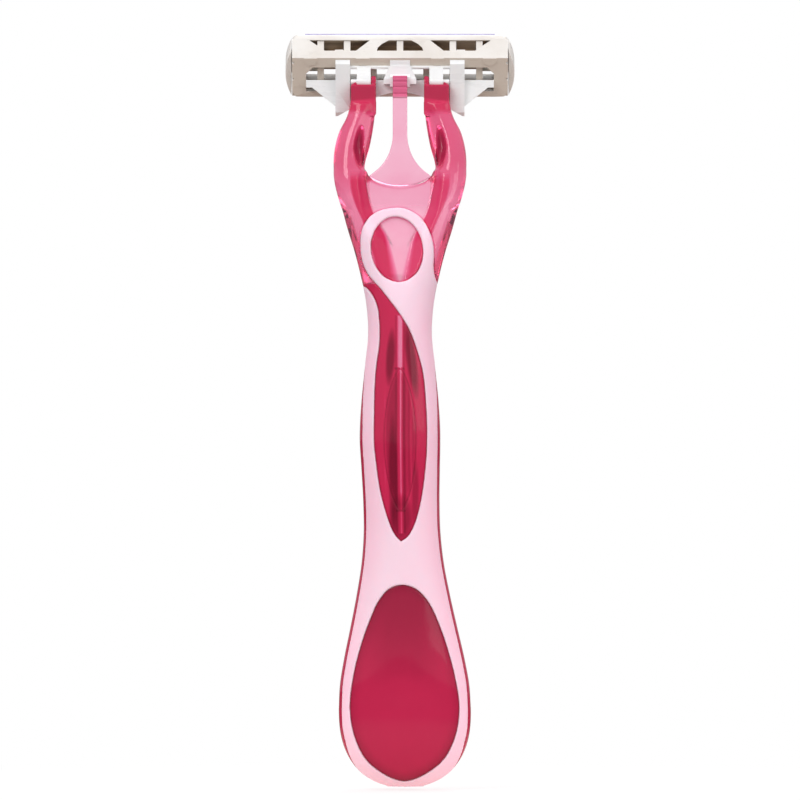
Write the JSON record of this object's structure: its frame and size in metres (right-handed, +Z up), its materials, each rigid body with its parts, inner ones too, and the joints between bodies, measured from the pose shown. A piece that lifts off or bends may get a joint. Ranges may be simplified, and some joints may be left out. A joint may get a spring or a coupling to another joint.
{
  "type": "cartridge razor",
  "caption": "Wet-shave razor: two-shot handle with bulbous end, thumb ring and forked neck, spring tongue and pivoting multi-blade head.",
  "frame": {"origin": "below the middle of the razor, at the height of the handle's lowest point, midway between its front and back", "axes": "+Z up the handle to the head, +X along the head, +Y towards the skin side; the blades face +Y and up"},
  "size_m": [0.0424, 0.0226, 0.1395],
  "materials": {
    "core_plastic": "translucent magenta, polished",
    "grip_skin": "pale pink soft-touch, satin",
    "tongue_plastic": "translucent pink, polished",
    "housing_plastic": "off-white moulded, light gloss",
    "yoke_plastic": "cool white moulded, light gloss",
    "lubricant": "lilac, waxy",
    "guard_rubber": "soft fins, matt",
    "blade_steel": "bright ground edge",
    "support_steel": "rolled strip",
    "spring_plastic": "off-white moulded"
  },
  "bodies": {
    "handle": {"handle_core": "core_plastic", "grip_overmould": "grip_skin"},
    "tongue": {"spring_tongue": "tongue_plastic"},
    "head": {"pivot_yoke": "yoke_plastic", "rear_cover": "housing_plastic", "face_frame": "housing_plastic", "lubricating_strip": "lubricant", "guard_insert": "guard_rubber", "end_clip_left": "yoke_plastic", "end_clip_right": "yoke_plastic", "blade_spring_left": "spring_plastic", "blade_spring_right": "spring_plastic"},
    "blade_unit_1": {"blade_1": "blade_steel", "blade_support_1": "support_steel"},
    "blade_unit_2": {"blade_2": "blade_steel", "blade_support_2": "support_steel"},
    "blade_unit_3": {"blade_3": "blade_steel", "blade_support_3": "support_steel"}
  },
  "joints": [
    {"name": "head_pivot", "type": "hinge", "parent": "handle", "child": "head", "pos_m": [0, 0.0024, 0.1305], "axis": [1, 0, 0], "range_deg": [0, 40], "stiffness_Nm_per_rad": 0.01},
    {"name": "tongue_flex", "type": "hinge", "parent": "handle", "child": "tongue", "pos_m": [0, -0.0012, 0.1122], "axis": [1, 0, 0], "range_deg": [0, 2.5]},
    {"name": "blade_1_float", "type": "slide", "parent": "head", "child": "blade_unit_1", "axis": [0, -0.866, -0.5], "range_m": [0, 0.0003], "deforming": ["blade_spring_left", "blade_spring_right"]},
    {"name": "blade_2_float", "type": "slide", "parent": "head", "child": "blade_unit_2", "axis": [0, -0.866, -0.5], "range_m": [0, 0.0003], "deforming": ["blade_spring_left", "blade_spring_right"]},
    {"name": "blade_3_float", "type": "slide", "parent": "head", "child": "blade_unit_3", "axis": [0, -0.866, -0.5], "range_m": [0, 0.0003], "deforming": ["blade_spring_left", "blade_spring_right"]}
  ],
  "couplings": [
    {"joint": "tongue_flex", "follows": "head_pivot", "ratio": 0.04}
  ]
}
